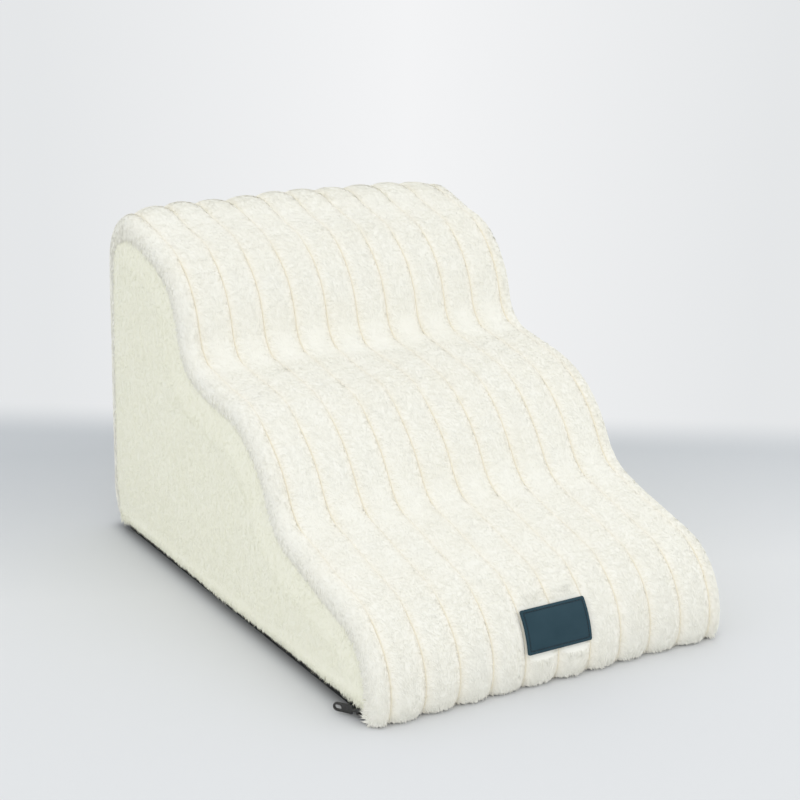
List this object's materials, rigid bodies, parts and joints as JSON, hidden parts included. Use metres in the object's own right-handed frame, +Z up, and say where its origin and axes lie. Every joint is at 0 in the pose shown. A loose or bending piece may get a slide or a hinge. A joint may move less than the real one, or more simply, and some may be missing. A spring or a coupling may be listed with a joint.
{
  "type": "pet stairs",
  "caption": "Foam pet stairs with soft wave-shaped steps in a ribbed cream plush cover that zips off along the bottom edge.",
  "frame": {"origin": "on the floor, midway between the two sides and midway between the front foot and the back", "axes": "+Z up; +Y from the low front step towards the high back; +X to the right of someone going up"},
  "size_m": [0.4159, 0.5768, 0.3595],
  "materials": {
    "foam": "matte",
    "comfort_foam": "matte",
    "ribbed_plush": "matte",
    "plain_plush": "matte",
    "grip_cloth": "matte",
    "zip_tape": "matte",
    "zip_coil": "satin",
    "zip_metal": "satin",
    "label_rubber": "matte",
    "label_thread": "matte"
  },
  "bodies": {
    "stairs": {"foam_base_slab": "foam", "foam_middle_slab": "foam", "foam_top_slab": "foam", "comfort_layer": "comfort_foam", "ribbed_cover_panel": "ribbed_plush", "left_side_panel": "plain_plush", "right_side_panel": "plain_plush", "grip_bottom_panel": "grip_cloth", "zip_tape_upper": "zip_tape", "zip_tape_lower": "zip_tape", "zip_coil_upper": "zip_coil", "zip_coil_lower": "zip_coil", "zip_top_stops": "zip_metal", "zip_bottom_stop": "zip_metal", "label_patch": "label_rubber", "label_stitching": "label_thread"},
    "slider": {"zip_slider_body": "zip_metal"},
    "pull_tab": {"zip_pull_tab": "zip_metal"}
  },
  "joints": [
    {"name": "slider_travel", "type": "slide", "parent": "stairs", "child": "slider", "axis": [0, 1, 0], "range_m": [0, 0.494]},
    {"name": "pull_tab_swing", "type": "hinge", "parent": "slider", "child": "pull_tab", "pos_m": [-0.19805, -0.25555, 0.0074], "axis": [0, 0, 1], "range_deg": [-34, 125]}
  ]
}
